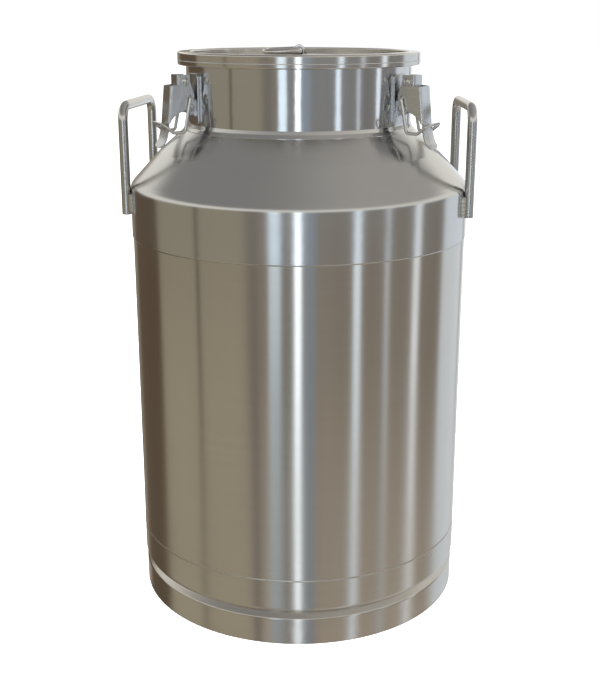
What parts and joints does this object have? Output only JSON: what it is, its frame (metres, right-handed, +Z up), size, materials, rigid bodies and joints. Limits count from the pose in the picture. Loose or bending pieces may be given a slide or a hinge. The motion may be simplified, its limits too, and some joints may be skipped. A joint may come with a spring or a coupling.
{
  "type": "milk can",
  "caption": "Tall cylindrical stainless can with a sloped shoulder, polished neck, rod handles at the sides, a sunk round lid and draw latches around the neck.",
  "frame": {"origin": "on the can's axis, in the plane that the foot ring stands on", "axes": "+Z up along the can's axis, +X towards the right handle, -Y the front, between the two front latches"},
  "size_m": [0.3682, 0.362, 0.6027],
  "materials": {
    "brushed_wall": "fine circumferential brush",
    "shoulder_satin": "spun satin",
    "neck_polish": "mirror polish",
    "turned_rim": "turned and polished",
    "foot_satin": "brushed, slightly scuffed",
    "weld_bead": "dressed weld",
    "handle_rod": "drawn rod",
    "lid_sheet": "pressed, polished",
    "gasket_rubber": "matt food-grade silicone",
    "lid_fitting": "polished",
    "latch_sheet": "pressed, polished",
    "latch_pin": "domed",
    "latch_wire": "drawn wire"
  },
  "bodies": {
    "can": {"body_shell": "brushed_wall", "shoulder_shell": "shoulder_satin", "neck_tube": "neck_polish", "mouth_ring": "turned_rim", "bottom_dish": "brushed_wall", "foot_ring": "foot_satin", "lower_seam_weld": "weld_bead", "upper_seam_weld": "weld_bead", "neck_weld": "weld_bead", "foot_weld": "weld_bead", "left_handle": "handle_rod", "right_handle": "handle_rod", "left_handle_welds": "weld_bead", "right_handle_welds": "weld_bead", "left_latch_bracket": "latch_sheet", "left_latch_yoke": "latch_sheet", "left_latch_rivet": "latch_pin", "left_latch_lever_pin": "latch_pin", "right_latch_bracket": "latch_sheet", "right_latch_yoke": "latch_sheet", "right_latch_rivet": "latch_pin", "right_latch_lever_pin": "latch_pin", "rear_latch_bracket": "latch_sheet", "rear_latch_yoke": "latch_sheet", "rear_latch_rivet": "latch_pin", "rear_latch_lever_pin": "latch_pin"},
    "lid": {"lid_flange_ring": "turned_rim", "lid_dish": "lid_sheet", "lid_gasket": "gasket_rubber", "lid_hoop": "lid_fitting"},
    "lifting_ring": {"lid_ring": "lid_fitting"},
    "left_lever": {"left_latch_lever": "latch_sheet"},
    "left_hook": {"left_latch_hook": "latch_wire"},
    "right_lever": {"right_latch_lever": "latch_sheet"},
    "right_hook": {"right_latch_hook": "latch_wire"},
    "rear_lever": {"rear_latch_lever": "latch_sheet"},
    "rear_hook": {"rear_latch_hook": "latch_wire"}
  },
  "joints": [
    {"name": "lid_lift", "type": "slide", "parent": "can", "child": "lid", "axis": [0, 0, 1], "range_m": [0, 0.06]},
    {"name": "lid_ring_hinge", "type": "hinge", "parent": "lid", "child": "lifting_ring", "pos_m": [0, 0, 0.59697], "axis": [0, 1, 0], "range_deg": [0, 184]},
    {"name": "left_lever_hinge", "type": "hinge", "parent": "can", "child": "left_lever", "pos_m": [-0.11824, -0.06024, 0.56837], "axis": [-0.454, 0.891, 0], "range_deg": [0, 110]},
    {"name": "left_hook_hinge", "type": "hinge", "parent": "left_lever", "child": "left_hook", "pos_m": [-0.11432, -0.05825, 0.55437], "axis": [-0.454, 0.891, 0], "range_deg": [0, 60]},
    {"name": "right_lever_hinge", "type": "hinge", "parent": "can", "child": "right_lever", "pos_m": [0.11192, -0.0713, 0.56837], "axis": [-0.5373, -0.8434, 0], "range_deg": [0, 110]},
    {"name": "right_hook_hinge", "type": "hinge", "parent": "right_lever", "child": "right_hook", "pos_m": [0.10821, -0.06894, 0.55437], "axis": [-0.5373, -0.8434, 0], "range_deg": [0, 60]},
    {"name": "rear_lever_hinge", "type": "hinge", "parent": "can", "child": "rear_lever", "pos_m": [0.00694, 0.13252, 0.56837], "axis": [0.9986, -0.0523, 0], "range_deg": [0, 110]},
    {"name": "rear_hook_hinge", "type": "hinge", "parent": "rear_lever", "child": "rear_hook", "pos_m": [0.00671, 0.12812, 0.55437], "axis": [0.9986, -0.0523, 0], "range_deg": [0, 60]}
  ]
}
